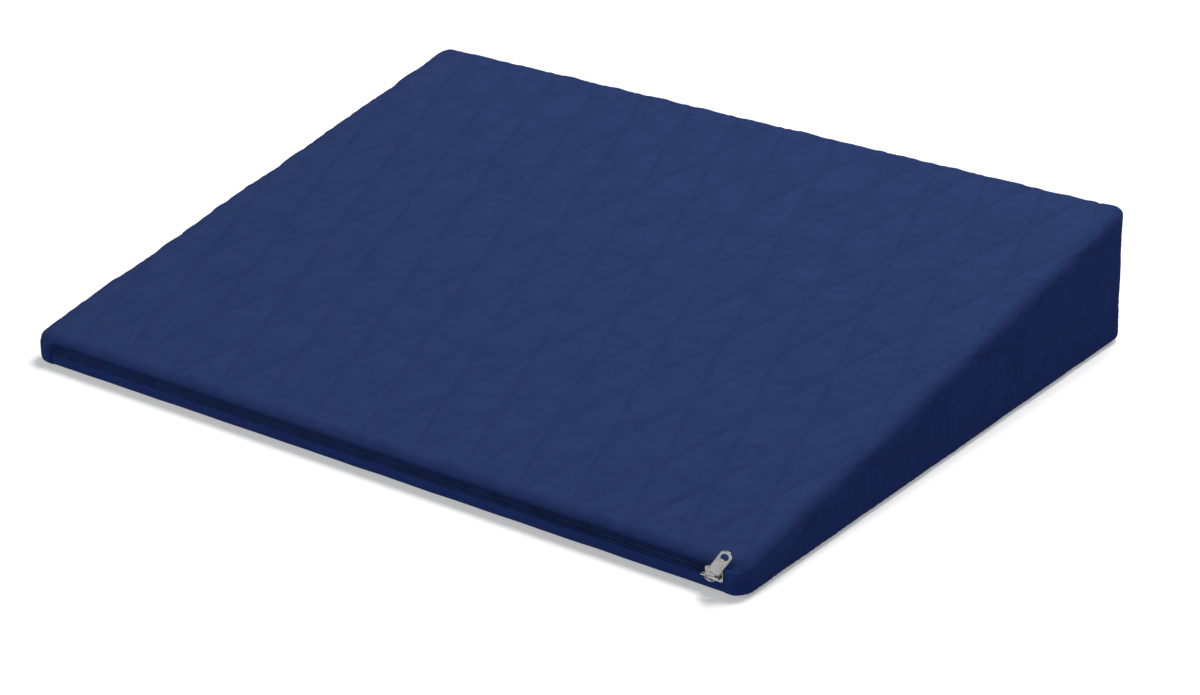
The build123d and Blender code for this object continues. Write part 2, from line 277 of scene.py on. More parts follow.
def seam_dip(distance, depth, width):
    """How far fabric is drawn in beside a seam."""
    return -depth * np.exp(-((np.maximum(distance, 0) / width) ** 1.3))


# ---------------------------------------------------------------- mesh helpers


def face_outwards(mesh):
    """Turns a mesh's faces all the same way, away from the middle of the wedge."""
    edit = bmesh.new()
    edit.from_mesh(mesh)
    bmesh.ops.recalc_face_normals(edit, faces=edit.faces)
    edit.to_mesh(mesh)
    edit.free()
    if sum(face.area * face.normal.dot(face.center - MIDDLE_POINT) for face in mesh.polygons) < 0:
        mesh.flip_normals()


def mesh_object(name, vertices, faces, material, attributes=()):
    """A smooth-shaded mesh object from arrays, with per-point values for its material."""
    mesh = bpy.data.meshes.new(name)
    mesh.from_pydata(np.asarray(vertices, float).tolist(), [], [list(map(int, f)) for f in faces])
    mesh.validate()
    face_outwards(mesh)
    for label, values in attributes:
        layer = mesh.attributes.new(label, "FLOAT", "POINT")
        layer.data.foreach_set("value", np.asarray(values, np.float32))
    mesh.polygons.foreach_set("use_smooth", np.ones(len(mesh.polygons), bool))
    mesh.materials.append(material)
    piece = bpy.data.objects.new(name, mesh)
    bpy.context.scene.collection.objects.link(piece)
    return piece


def grid_faces(index):
    """Quads over a two-dimensional array of vertex numbers."""
    quads = np.stack([index[:-1, :-1], index[:-1, 1:], index[1:, 1:], index[1:, :-1]], -1)
    return quads.reshape(-1, 4)


def add_piece(name, body, nodes, vertices, faces, material, attributes=()):
    """A new piece that rides on a body and stands for some nodes of the frame."""
    piece = mesh_object(name, vertices, faces, material, attributes)
    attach(piece, body)
    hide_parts(*nodes)
    return piece


# ---------------------------------------------------------------- materials


def new_material(name):
    """An empty node material with its shader, and a helper that adds linked nodes."""
    material = bpy.data.materials.new(name)
    material.use_nodes = True
    nodes, links = material.node_tree.nodes, material.node_tree.links
    shader = nodes["Principled BSDF"]

    def add(kind, inputs=(), **settings):
        node = nodes.new(kind)
        for key, value in settings.items():
            setattr(node, key, value)
        for key, value in dict(inputs).items():
            if isinstance(value, bpy.types.NodeSocket):
                links.new(value, node.inputs[key])
            else:
                node.inputs[key].default_value = value
        return node

    return material, shader, add, links


def ramp(add, value, stops):
    """A colour ramp on a value, from (place, colour) pairs."""
    node = add("ShaderNodeValToRGB", {"Fac": value})
    elements = node.color_ramp.elements
    while len(elements) < len(stops):
        elements.new(0.5)
    for element, (place, colour) in zip(elements, stops):
        element.position = place
        element.color = (*colour, 1)
    return node.outputs["Color"]


def attribute(add, name, share):
    """A mesh's own value for each point, times a share."""
    value = add("ShaderNodeAttribute", attribute_name=name).outputs["Fac"]
    return add("ShaderNodeMath", {0: value, 1: share}, operation="MULTIPLY").outputs[0]


def blend_colours(add, factor, first, second):
    """One colour turning into another; the second is a socket or a plain colour."""
    node = add("ShaderNodeMix", data_type="RGBA")
    links = node.id_data.links
    links.new(factor, node.inputs["Factor"])
    links.new(first, node.inputs[6])
    if isinstance(second, bpy.types.NodeSocket):
        links.new(second, node.inputs[7])
    else:
        node.inputs[7].default_value = (*second, 1)
    return node.outputs[2]


def fabric_material(name, dark, light, thread, weave_depth, sheen, upright=None):
    """Woven or brushed cloth: a fine weave and nap that lies unevenly. Given upright colours, it is also
    painted darker on upright fabric and in the stitched valleys, as painted shade.
    """
    material, shader, add, links = new_material(name)
    place = add("ShaderNodeTexCoord").outputs["Object"]

    def noise(scale, detail, roughness):
        settings = {"Vector": place, "Scale": scale, "Detail": detail, "Roughness": roughness}
        return add("ShaderNodeTexNoise", settings)

    mottle = noise(38.0, 5.0, 0.6)
    nap = noise(900.0, 3.0, 0.7)
    blend = add("ShaderNodeMath", {0: mottle.outputs["Fac"], 1: nap.outputs["Fac"]}, operation="ADD")
    half = add("ShaderNodeMath", {0: blend.outputs[0], 1: 0.5}, operation="MULTIPLY")
    colour = ramp(add, half.outputs[0], [(0.32, dark), (0.68, light)])
    if upright:
        # painted shade: upright fabric takes darker colours, and the stitched valleys are darkened towards
        # half the dark colour
        upright_shade_colour = ramp(add, half.outputs[0], [(0.32, upright[0]), (0.68, upright[1])])
        colour = blend_colours(add, attribute(add, "upright", 1.0), colour, upright_shade_colour)
        valley_shade_colour = [part * 0.5 for part in dark]
        colour = blend_colours(add, attribute(add, "stitch", 0.15), colour, valley_shade_colour)
    links.new(colour, shader.inputs["Base Color"])
    rough = add("ShaderNodeMapRange", {"Value": mottle.outputs["Fac"], "To Min": 0.83, "To Max": 0.95})
    links.new(rough.outputs["Result"], shader.inputs["Roughness"])
    yarn = {"Vector": place, "Scale": 1 / thread, "Distortion": 1.2, "Detail": 1.0}
    warp, weft, rise = (add("ShaderNodeTexWave", yarn, bands_direction=way) for way in "XYZ")
    flat = add("ShaderNodeMath", {0: warp.outputs["Fac"], 1: weft.outputs["Fac"]}, operation="ADD")
    weave = add("ShaderNodeMath", {0: flat.outputs[0], 1: rise.outputs["Fac"]}, operation="ADD")
    surface = add("ShaderNodeMath", {0: weave.outputs[0], 1: nap.outputs["Fac"]}, operation="ADD")
    bump = add("ShaderNodeBump", {"Height": surface.outputs[0], "Strength": 0.5, "Distance": weave_depth})
    crease = noise(150.0, 4.0, 0.55)
    softness = {"Height": crease.outputs["Fac"], "Strength": 0.35, "Distance": 0.0006}
    soft = add("ShaderNodeBump", {**softness, "Normal": bump.outputs["Normal"]})
    links.new(soft.outputs["Normal"], shader.inputs["Normal"])
    shader.inputs["Sheen Weight"].default_value = sheen
    shader.inputs["Sheen Roughness"].default_value = 0.45
    shader.inputs["Sheen Tint"].default_value = (0.7, 0.8, 1.0, 1)
    shader.inputs["Specular IOR Level"].default_value = 0.01
    return material


def metal_material():
    """Satin nickel plate, a little brighter where it is handled."""
    material, shader, add, links = new_material("satin_nickel")
    place = add("ShaderNodeTexCoord").outputs["Object"]
    cast = add("ShaderNodeTexNoise", {"Vector": place, "Scale": 700.0, "Detail": 4.0, "Roughness": 0.6})
    rub = add("ShaderNodeTexNoise", {"Vector": place, "Scale": 180.0, "Detail": 2.0})
    colour = ramp(add, rub.outputs["Fac"], [(0.3, (0.25, 0.25, 0.25)), (0.7, (0.4, 0.4, 0.39))])
    links.new(colour, shader.inputs["Base Color"])
    rough = add("ShaderNodeMapRange", {"Value": rub.outputs["Fac"], "To Min": 0.22, "To Max": 0.42})
    links.new(rough.outputs["Result"], shader.inputs["Roughness"])
    bump = add("ShaderNodeBump", {"Height": cast.outputs["Fac"], "Strength": 0.25, "Distance": 0.0001})
    links.new(bump.outputs["Normal"], shader.inputs["Normal"])
    shader.inputs["Metallic"].default_value = 1.0
    return material


def coil_material():
    """Dyed nylon monofilament."""
    material, shader, add, links = new_material("nylon_coil")
    place = add("ShaderNodeTexCoord").outputs["Object"]
    tone = add("ShaderNodeTexNoise", {"Vector": place, "Scale": 60.0, "Detail": 3.0})
    colour = ramp(add, tone.outputs["Fac"], [(0.3, (0.005, 0.013, 0.06)), (0.7, (0.009, 0.022, 0.095))])
    links.new(colour, shader.inputs["Base Color"])
    grain = add("ShaderNodeTexNoise", {"Vector": place, "Scale": 1500.0, "Detail": 2.0})
    bump = add("ShaderNodeBump", {"Height": grain.outputs["Fac"], "Strength": 0.2, "Distance": 0.0001})
    links.new(bump.outputs["Normal"], shader.inputs["Normal"])
    shader.inputs["Roughness"].default_value = 0.5
    shader.inputs["Specular IOR Level"].default_value = 0.08
    return material


def foam_material(name, dark, light, scale, depth):
    """Open-cell foam or loose fibre wadding, which only shows if the cover is opened."""
    material, shader, add, links = new_material(name)
    place = add("ShaderNodeTexCoord").outputs["Object"]
    cells = add("ShaderNodeTexVoronoi", {"Vector": place, "Scale": scale})
    tone = add("ShaderNodeTexNoise", {"Vector": place, "Scale": scale / 20, "Detail": 4.0})
    links.new(ramp(add, tone.outputs["Fac"], [(0.3, dark), (0.7, light)]), shader.inputs["Base Color"])
    bump = add("ShaderNodeBump", {"Height": cells.outputs["Distance"], "Strength": 0.6, "Distance": depth})
    links.new(bump.outputs["Normal"], shader.inputs["Normal"])
    shader.inputs["Roughness"].default_value = 0.95
    return material


# painted light: the top's colours are lighter and greyer, standing in for the back light's sheen on it,
# and the upright colours are darker, as painted shade on the sides and front
NAVY = fabric_material(
    "navy_microfibre", (0.0155, 0.029, 0.088), (0.0205, 0.0355, 0.106), 0.0011, 0.00008, 0.01,
    upright=((0.0075, 0.017, 0.078), (0.0098, 0.021, 0.094)),
)
NAVY_BASE = fabric_material(
    "navy_base_cloth", (0.008, 0.015, 0.06), (0.012, 0.022, 0.08), 0.0016, 0.0001, 0.01
)
TAPE = fabric_material(
    "navy_zip_tape", (0.006, 0.013, 0.055), (0.009, 0.018, 0.072), 0.0022, 0.00012, 0.01
)
THREAD = fabric_material("navy_thread", (0.014, 0.027, 0.086), (0.018, 0.033, 0.1), 0.0012, 0.00008, 0.01)
NICKEL = metal_material()
NYLON = coil_material()
FOAM = foam_material("cream_foam", (0.72, 0.66, 0.5), (0.84, 0.79, 0.65), 900.0, 0.0006)
WADDING = foam_material("white_wadding", (0.74, 0.74, 0.72), (0.88, 0.88, 0.86), 1600.0, 0.0004)
BACKING = fabric_material("white_backing", (0.6, 0.6, 0.6), (0.75, 0.75, 0.75), 0.0016, 0.0001, 0.02)


# ---------------------------------------------------------------- quilted panels


def along_slope(y):
    """Distance along the slope from the front edge, for a place y of the unrolled top."""
    return (y + HALF_DEPTH) / math.cos(SLOPE)


def spread(edges, counts):
    """Columns between lines that are given for every row: counts[k] of them from line k on."""
    columns = []
    for low, high, count in zip(edges[:-1], edges[1:], counts):
        columns += [low + (high - low) * k / count for k in range(count)]
    return np.stack(columns + [edges[-1]], 1)


def top_grid(per_gap, step):
    """The unrolled top as a grid whose columns follow the quilting rows."""
    count = round(2 * REACH_Y / step)
    y = np.linspace(-REACH_Y, REACH_Y, count + 1)
    lines = all_rows(along_slope(y))[SIDE_ROWS : SIDE_ROWS + ROW_COUNT]
    gap = 0.5 * MM
    lines = np.clip(lines, -REACH_X + gap, REACH_X - gap)
    edges = [np.full_like(y, -REACH_X), *lines, np.full_like(y, REACH_X)]
    counts = [max(2, per_gap // 2), *[per_gap] * (ROW_COUNT - 1), per_gap]
    x = spread(edges, counts)
    return x, np.broadcast_to(y[:, None], x.shape)


def over_edge(run):
    """The share of its relief that the quilting keeps: it is pulled flatter over the edge."""
    return 1 - 0.42 * np.exp(-(((run - 3 * MM) / (10 * MM)) ** 2))


def rim_lift(x, y):
    """The unrolled top's relief, drawn in at the seams over the zip and the back."""
    lift, stitch = relief(x, along_slope(y))
    to_seam = np.maximum(REACH_Y - np.abs(y), 0)
    seamed = 1 - np.clip((np.abs(x) - ARC_X) / (CORNER_IN + RIM_RUN), 0, 1)
    calm = 1 - np.exp(-to_seam / (4 * MM)) * seamed
    depth = np.where(y < 0, FRONT_SEAM_DIP, TOP_SEAM_DIP)
    dip = seam_dip(to_seam, depth, SEAM_REACH) * seamed * (1 - by_zip_end(x, y))
    return lift * calm + dip, stitch * calm


def to_corner_seam(edge_xy):
    """How far places on the rim are from the seam down the nearest back corner."""
    corner_x, corner_y = ARC_X + CORNER_SEAM, ARC_Y + CORNER_SEAM
    off_x, off_y = corner_x - np.abs(edge_xy[:, 0]), corner_y - edge_xy[:, 1]
    return np.abs(np.maximum(off_x, off_y))[:, None]


def wall_lift(edge_xy, run, length, u, v, topped):
    """Relief of the cover below the rim: fuller just over the edge, faint lower down, and drawn in
    at the corner and base seams, and at the seam above where it is topped by one."""
    fade = 0.45 + 0.3 * np.exp(-(((run - EDGE_R) / (12 * MM)) ** 2))
    lift, stitch = relief(u, v, fade)
    to_base, to_corner = length - run, np.broadcast_to(to_corner_seam(edge_xy), run.shape)
    top_seam = np.ones_like(run) if topped else np.exp(-to_corner / (3 * MM))
    start = np.clip((run - RIM_RUN) / (3 * MM), 0, 1)
    by_end = by_zip_end(edge_xy[:, :1], edge_xy[:, 1:])
    calm = (1 - np.exp(-to_base / (6 * MM))) * (1 - np.exp(-to_corner / (5 * MM)))
    calm = calm * (1 - top_seam * np.exp(-(run - RIM_RUN) / (4 * MM)))
    dip = seam_dip(to_base, BASE_SEAM_DIP, 2.4 * MM)
    dip = dip + seam_dip(to_corner, CORNER_SEAM_DIP, SEAM_REACH) * start
    dip = dip + seam_dip(run - RIM_RUN, TOP_SEAM_DIP, SEAM_REACH) * top_seam * (1 - by_end)
    over_end = OVER_ZIP_END * by_end * np.clip((run - RIM_RUN) / (1.2 * MM), 0, 1) ** 0.7
    over_end = over_end * (1 - np.exp(-((to_base / (5 * MM)) ** 2)))
    return np.maximum(lift * calm + dip, LOWEST) + over_end, stitch * calm


def by_zip_end(x, y):
    """How near the front fabric is to an end of the zip, which it passes over, from 0 to 1."""
    from_end = np.where(x < 0, ZIP_LEFT - x, x - ZIP_RIGHT)
    past = np.maximum(from_end - 5 * MM, 0) / (4.5 * MM)
    short = np.minimum(from_end, 0) / (3 * MM)
    return np.exp(-(past**2) - short**2) * (y < -ARC_Y)


class Shell:
    """Part of the cover as a grid: where each point is on the plain surface, how far the quilted
    fabric stands off it there, how close a stitch is, and the faces between the points."""

    def __init__(self):
        self.centre, self.way, self.run, self.lift, self.stitch, self.faces = [], [], [], [], [], []
        self.size = 0

    def add(self, centre, way, run, lift, stitch):
        for store, values in zip((self.centre, self.way), (centre, way)):
            store.append(np.asarray(values).reshape(-1, 2))
        for store, values in zip((self.run, self.lift, self.stitch), (run, lift, stitch)):
            store.append(np.asarray(values).ravel())
        index = self.size + np.arange(np.asarray(run).size).reshape(np.asarray(run).shape)
        self.size += index.size
        return index

    def points(self, lift=None):
        """The points at the fabric's own height, or at another one off the plain surface."""
        own = np.concatenate(self.lift)
        lift = own if lift is None else own * 0 + lift
        place = (np.concatenate(part) for part in (self.centre, self.way, self.run))
        return shell_point(*place, lift)

    def below(self, depth, least, past_edge):
        """The points of a layer under the fabric: depth below it, past_edge at the most from where
        the edge starts to bend, and no lower than least."""
        lift = np.concatenate(self.lift) - depth
        lift = np.where(np.concatenate(self.run) > -3 * MM, np.minimum(lift, past_edge), lift)
        return self.points(np.maximum(lift, least))

    def upright(self):
        """How upright the fabric is at each point, from 0 on the top to 1 on the sides."""
        share = np.clip((np.concatenate(self.run) + 5 * MM) / (EDGE_R + 14 * MM), 0, 1)
        return share**2 * (3 - 2 * share)

    def all_faces(self):
        """Every face, as one array of vertex numbers."""
        return np.concatenate(self.faces)


def hem(shell, centre, way, run, index):
    """Turns the fabric in along a free edge, over the cut ends of the layers under it."""
    for lift in (-0.6 * MM, HEM_DEPTH):
        flat = np.full(len(run), lift)
        folded = shell.add(centre, way, run, flat, 0 * flat)
        shell.faces.append(grid_faces(np.stack([folded, index])))
        index = folded


def add_wall(shell, edge_xy, steps, rim, sign=0):
    """Adds the cover below a stretch of rim. sign is the side it is on, or 0 for the back."""
    centre, way, _ = edge_place(edge_xy[:, 0], edge_xy[:, 1])
    length = wall_length(centre, way)[:, None]
    down = np.linspace(0, 1, steps + 1)[None, :]
    run = RIM_RUN + (length - RIM_RUN) * down
    if sign:
        u = sign * (HALF_WIDTH - EDGE_R + run)
        v = np.broadcast_to(along_slope(edge_xy[:, 1])[:, None], run.shape)
    else:
        u = np.broadcast_to(edge_xy[:, :1], run.shape)
        v = along_slope(HALF_DEPTH) + run
    lift, stitch = wall_lift(edge_xy, run, length, u, v, not sign)
    first = 0 if rim is None else 1
    repeat = (*run.shape, 2)
    centre = np.broadcast_to(centre[:, None], repeat)[:, first:]
    way = np.broadcast_to(way[:, None], repeat)[:, first:]
    index = shell.add(centre, way, run[:, first:], lift[:, first:], stitch[:, first:])
    if rim is not None:
        index = np.concatenate([rim[:, None], index], 1)
    faces = grid_faces(index)
    shell.faces.append(faces[:, ::-1] if sign > 0 else faces)
    return index


def make_wrap_shell(per_gap, step, side_step, hemmed=False):
    """The top, over both edges and down the sides, in one piece. Also returns the back's rim."""
    x, y = top_grid(per_gap, step)
    lift, stitch = rim_lift(x, y)
    px, py = round_corners(x, y)
    centre, way, run = edge_place(px, py)
    lift = np.maximum(lift * over_edge(run), LOWEST)
    shell = Shell()
    index = shell.add(centre, way, run, lift, stitch)
    shell.faces.append(grid_faces(index))
    steps = round((top_z(HALF_DEPTH) + EDGE_R) / side_step)
    setback = 0 if hemmed else 1.5 * MM
    over_zip = np.nonzero((px[0] >= ZIP_LEFT - 2 * MM) & (px[0] <= ZIP_RIGHT + 2 * MM))[0]
    if hemmed:
        hem(shell, centre[0, over_zip], way[0, over_zip], run[0, over_zip] + HEM, index[0, over_zip])
    for sign in (-1, 1):
        column = 0 if sign < 0 else -1
        zip_end = (ZIP_RIGHT if sign > 0 else -ZIP_LEFT) + setback
        front = np.nonzero(sign * px[0] > zip_end - 1 * MM)[0]
        front = front[::-1] if sign < 0 else front
        picked = (np.concatenate([np.zeros_like(front), np.arange(1, len(x))]),
                  np.concatenate([front, np.full(len(x) - 1, column)]))
        edge_xy = np.stack([px[picked], py[picked]], -1)
        edge_xy[0, 0] = sign * zip_end
        wall = add_wall(shell, edge_xy, steps, index[picked], sign)
        if hemmed:
            hem_wall_end(shell, wall[0], sign)
    return shell, np.stack([px[-1], py[-1]], -1)


def hem_wall_end(shell, column, sign):
    """Turns in the upright edge of a side where the zip ends."""
    centre, way, run = (np.concatenate(part)[column] for part in (shell.centre, shell.way, shell.run))
    centre = centre - np.array([sign * HEM, 0])
    hem(shell, centre, way, run, column)
    if sign < 0:
        shell.faces[-2:] = [faces[:, ::-1] for faces in shell.faces[-2:]]


def make_back_shell(back_rim, side_step):
    """The back panel, hung from the back's rim."""
    shell = Shell()
    add_wall(shell, back_rim, round(top_z(HALF_DEPTH) / side_step), None)
    return shell


def close_layer(outer, inner, faces):
    """A closed layer between two surfaces that share their faces, with its edge bridged."""
    faces = np.asarray(faces)
    edges = np.concatenate([faces[:, [k, (k + 1) % 4]] for k in range(4)])
    keys = np.sort(edges, 1)
    _, first, count = np.unique(keys, axis=0, return_index=True, return_counts=True)
    rim = edges[first[count == 1]]
    bridge = np.stack([rim[:, 1], rim[:, 0], rim[:, 0] + len(outer), rim[:, 1] + len(outer)], 1)
    return np.concatenate([outer, inner]), np.concatenate([faces, faces[:, ::-1] + len(outer), bridge])


def settle_cloth(piece, stitch, upright):
    """Lets the quilted fabric settle as cloth, a little larger than the foam, pushed out by its
    wadding and held where it is stitched, and keeps the result in its mesh."""
    mesh = piece.data
    start = np.empty(len(mesh.vertices) * 3)
    mesh.vertices.foreach_get("co", start)
    start = start.reshape(-1, 3)
    rims = np.zeros(len(start), bool)
    for edge in open_edges(mesh):
        rims[edge] = True
    hold = np.where(rims | (stitch > 0.75), 1.0, np.clip(0.05 + 0.55 * upright + 0.6 * stitch, 0, 0.9))
    group = piece.vertex_groups.new(name="stitched")
    for weight in np.unique(np.round(hold, 1)):
        picked = np.nonzero(np.round(hold, 1) == weight)[0].tolist()
        group.add(picked, float(weight), "REPLACE")
    cloth = piece.modifiers.new("cloth", "CLOTH")
    cloth.settings.quality = 4
    cloth.settings.mass = 0.02
    cloth.settings.tension_stiffness = cloth.settings.compression_stiffness = 20
    cloth.settings.shear_stiffness = 8
    cloth.settings.bending_stiffness = 0.05
    cloth.settings.shrink_min = -0.02
    cloth.settings.use_pressure = True
    cloth.settings.uniform_pressure_force = 1.5
    cloth.settings.vertex_group_mass = "stitched"
    cloth.settings.effector_weights.gravity = 0
    cloth.collision_settings.use_collision = False
    scene = bpy.context.scene
    for number in range(1, CLOTH_FRAMES + 1):
        scene.frame_set(number)
    settled = piece.evaluated_get(bpy.context.evaluated_depsgraph_get()).to_mesh()
    end = np.empty(len(start) * 3)
    settled.vertices.foreach_get("co", end)
    move = end.reshape(-1, 3) - start
    normals = np.array([vertex.normal[:] for vertex in mesh.vertices])
    out = (move * normals).sum(1)
    move += normals * np.maximum(-CLOTH_LEAST - out, 0)[:, None]
    far = np.linalg.norm(move, axis=1)
    move *= (np.minimum(far, CLOTH_MOST) / np.maximum(far, 1e-9))[:, None]
    piece.modifiers.remove(cloth)
    scene.frame_set(1)
    mesh.vertices.foreach_set("co", (start + move).ravel())
    mesh.update()


def open_edges(mesh):
    """The edges with a face on one side only, as pairs of vertex numbers."""
    faces = np.array([polygon.vertices[:] for polygon in mesh.polygons])
    edges = np.sort(np.concatenate([faces[:, [k, (k + 1) % 4]] for k in range(4)]), 1)
    pairs, count = np.unique(edges, axis=0, return_counts=True)
    return pairs[count == 1]


def make_cover():
    """The quilted face fabric of the top, sides and back."""
    wrap, back_rim = make_wrap_shell(COLUMNS_PER_GAP, ROW_STEP, SIDE_STEP, hemmed=True)
    back = make_back_shell(back_rim, SIDE_STEP)
    for name, shell, node in (
        ("quilted_top_and_sides", wrap, "top_and_sides_face_fabric"),
        ("quilted_back", back, "back_face_fabric"),
    ):
        # the stitch and upright values drive the navy's painted shade on upright fabric and in the
        # stitched valleys
        piece = add_piece(
            name, "cover", [node], shell.points(), shell.all_faces(), NAVY,
            [("stitch", np.concatenate(shell.stitch)), ("upright", shell.upright())],
        )
        settle_cloth(piece, np.concatenate(shell.stitch), shell.upright())


def make_inner_layers():
    """Under the face fabric: the wadding, squeezed thin at the stitches, and the smooth backing."""
    wrap, back_rim = make_wrap_shell(4, LAYER_STEP, LAYER_STEP)
    back = make_back_shell(back_rim, LAYER_STEP)
    across = 2 * (HALF_WIDTH + top_z(HALF_DEPTH))
    along = 2 * HALF_DEPTH / math.cos(SLOPE)
    for part, shell, flat in (
        ("top_and_sides", wrap, (across, along)),
        ("back", back, (2 * HALF_WIDTH, top_z(HALF_DEPTH))),
    ):
        faces = shell.all_faces()
        upper = shell.below(WADDING_DEPTH, BACKING_TOP, PAST_EDGE)
        vertices, closed = close_layer(upper, shell.points(BACKING_TOP - 0.05 * MM), faces)
        padding = add_piece(
            f"{part}_wadding_layer", "cover", [f"{part}_wadding"], vertices, closed, WADDING
        )
        vertices = shell.points(BACKING_TOP - 0.15 * MM)
        sheet = add_piece(
            f"{part}_backing_sheet", "cover", [f"{part}_backing"], vertices, faces,
            BACKING,
        )


def make_foam():
    """The foam wedge, with its cut edges pressed round by the cover."""
    x, y = np.meshgrid(np.linspace(-REACH_X, REACH_X, 121), np.linspace(-REACH_Y, REACH_Y, 91))
    px, py = round_corners(x, y)
    centre, way, run = edge_place(px, py)
    shell = Shell()
    index = shell.add(centre, way, run, 0 * x, 0 * x)
    shell.faces.append(grid_faces(index))
    rim = np.concatenate([index[0, :-1], index[:-1, -1], index[-1, :0:-1], index[::-1, 0]])
    edge_xy = np.stack([px.ravel()[rim], py.ravel()[rim]], -1)
    add_wall(shell, edge_xy, FOAM_WALL_STEPS, rim, 1)
    vertices = shell.points(FOAM_TOP + 0.25 * MM * unevenness(*np.concatenate(shell.centre).T, MIDDLE))
    low = vertices[:, 2].min()
    vertices[:, 2] -= (low - FOAM_FOOT) * np.exp(-(vertices[:, 2] - low) / (7 * MM))
    walls = shell.all_faces()
    foot = np.arange(x.size, shell.size).reshape(len(rim), FOAM_WALL_STEPS)[:-1, -1]
    faces = [*walls.tolist(), foot.tolist()]
    foam = add_piece("foam_block", "cover", ["foam_core"], vertices, faces, FOAM)


# ---------------------------------------------------------------- base, front and zip


def make_base():
    """The base cloth: flat where it lies, with its rim turned up to the seam all round."""
    steps_x, steps_y = 120, 90
    inset = FOOT_R * 0.9
    x, y = np.meshgrid(
        np.linspace(-HALF_WIDTH + inset, HALF_WIDTH - inset, steps_x + 1),
        np.linspace(-HALF_DEPTH + inset, HALF_DEPTH - inset, steps_y + 1),
    )
    corner = CORNER_R - inset
    over_x = np.clip((np.abs(x) - ARC_X) / corner, 0, 1)
    over_y = np.clip((np.abs(y) - ARC_Y) / corner, 0, 1)
    to_edge = np.minimum(HALF_WIDTH - inset - np.abs(x), HALF_DEPTH - inset - np.abs(y))
    px = np.sign(x) * (np.abs(x) - over_x * corner * (1 - np.sqrt(1 - over_y**2 / 2)))
    py = np.sign(y) * (np.abs(y) - over_y * corner * (1 - np.sqrt(1 - over_x**2 / 2)))
    z = 0.05 * MM + 0.9 * MM * np.exp(-to_edge / (2.5 * MM)) + 0.05 * MM * (1 + unevenness(x, y, MIDDLE))
    index = np.arange(x.size).reshape(x.shape)
    vertices = np.stack([px, py, z], -1).reshape(-1, 3)
    base = add_piece(
        "base_cloth", "cover", ["base_panel"], vertices, grid_faces(index)[:, ::-1], NAVY_BASE
    )


def sweep_profile(profile, x, wander):
    """A closed profile of (depth, height) points carried along X. wander moves each point's line."""
    rings = []
    for k, (depth, height) in enumerate(profile):
        dy, dz = wander(x, k)
        rings.append(np.stack([x, depth + dy, height + dz], -1))
    points = np.stack(rings, 1)
    index = np.arange(points[..., 0].size).reshape(points.shape[:2])
    faces = grid_faces(np.concatenate([index, index[:, :1]], 1)).tolist()
    faces += [index[0].tolist(), index[-1, ::-1].tolist()]
    return points.reshape(-1, 3), faces


def rounded_band(outer, inner, low, high, corner_points=5):
    """A closed profile, as deep as outer to inner, with a round fold along its upper edge."""
    radius = (inner - outer) / 2
    angles = np.linspace(0, math.pi, corner_points + 2)
    fold = [(outer + radius - radius * math.cos(a), high - radius + radius * math.sin(a)) for a in angles]
    front = [(outer, z) for z in np.linspace(low, high - radius, 6)[:-1]]
    back = [(inner, z) for z in np.linspace(high - radius, low, 4)[1:]]
    return front + fold + back


def make_front():
    """The fabric strip under the zip, with its folded edge, and the zip's two tapes."""
    x = np.linspace(-ZIP_HALF, ZIP_HALF, 385)
    front = STRIP_LOW.y

    def strip_wander(x, k):
        wave = 0.22 * MM * unevenness(x, 0 * x + k * 2 * MM, MIDDLE)
        return wave, 0.25 * MM * unevenness(x, 0 * x, QUICK) * (k > 3)

    def tape_wander(x, k):
        return 0.08 * MM * unevenness(x, 0 * x + k * MM, QUICK), 0 * x

    profile = rounded_band(front - 0.3 * MM, STRIP_HIGH.y + 0.5 * MM, FLOOR_GAP, STRIP_HIGH.z)
    foot = [
        (front + FOOT_R * 0.9, FLOOR_GAP),
        (front + FOOT_R * 0.5, FLOOR_GAP * 1.2),
        (front + FOOT_R * 0.15, 1.6 * MM),
    ]
    profile = foot + profile[1:-1] + [(STRIP_HIGH.y + 0.5 * MM, 3 * MM)]
    vertices, faces = sweep_profile(profile, x, strip_wander)
    # the whole strip takes the darker upright colours of the navy: painted shade
    add_piece(
        "front_strip_folded", "cover", ["front_strip"], vertices, faces, NAVY,
        [("upright", np.ones(len(vertices)))],
    )
    for name, low, high in (
        ("lower", LOWER_TAPE_LOW, LOWER_TAPE_HIGH),
        ("upper", UPPER_TAPE_LOW, UPPER_TAPE_HIGH),
    ):
        start = ZIP_Z + TAPE_GAP if name == "upper" else STRIP_HIGH.z - 4 * MM
        end = high.z if name == "upper" else ZIP_Z - TAPE_GAP
        tape_profile = rounded_band(low.y, high.y, start, end, 1)
        vertices, faces = sweep_profile(tape_profile, x, tape_wander)
        add_piece(f"zip_{name}_tape_woven", "cover", [f"zip_{name}_tape"], vertices, faces, TAPE)


def tube_along(points, radius, sides):
    """A round tube through a list of points, as vertices and faces."""
    points = np.asarray(points, float)
    ahead = np.gradient(points, axis=0)
    ahead /= np.linalg.norm(ahead, axis=1)[:, None]
    up = np.array([0.13, 0.31, 0.94])  # a direction that no thread or coil follows
    side = np.cross(ahead, up)
    side /= np.linalg.norm(side, axis=1)[:, None]
    other = np.cross(side, ahead)
    angles = np.linspace(0, 2 * math.pi, sides, endpoint=False)
    ring = np.cos(angles)[None, :, None] * side[:, None] + np.sin(angles)[None, :, None] * other[:, None]
    vertices = points[:, None] + radius * ring
    index = np.arange(len(points) * sides).reshape(len(points), sides)
    faces = grid_faces(np.concatenate([index, index[:, :1]], 1)).tolist()
    faces += [index[0].tolist(), index[-1, ::-1].tolist()]
    return vertices.reshape(-1, 3), faces


def join(parts):
    """Several (vertices, faces) lists as one."""
    vertices, faces, total = [], [], 0
    for points, polygons in parts:
        vertices.append(points)
        faces += [[i + total for i in polygon] for polygon in polygons]
        total += len(points)
    return np.concatenate(vertices), faces


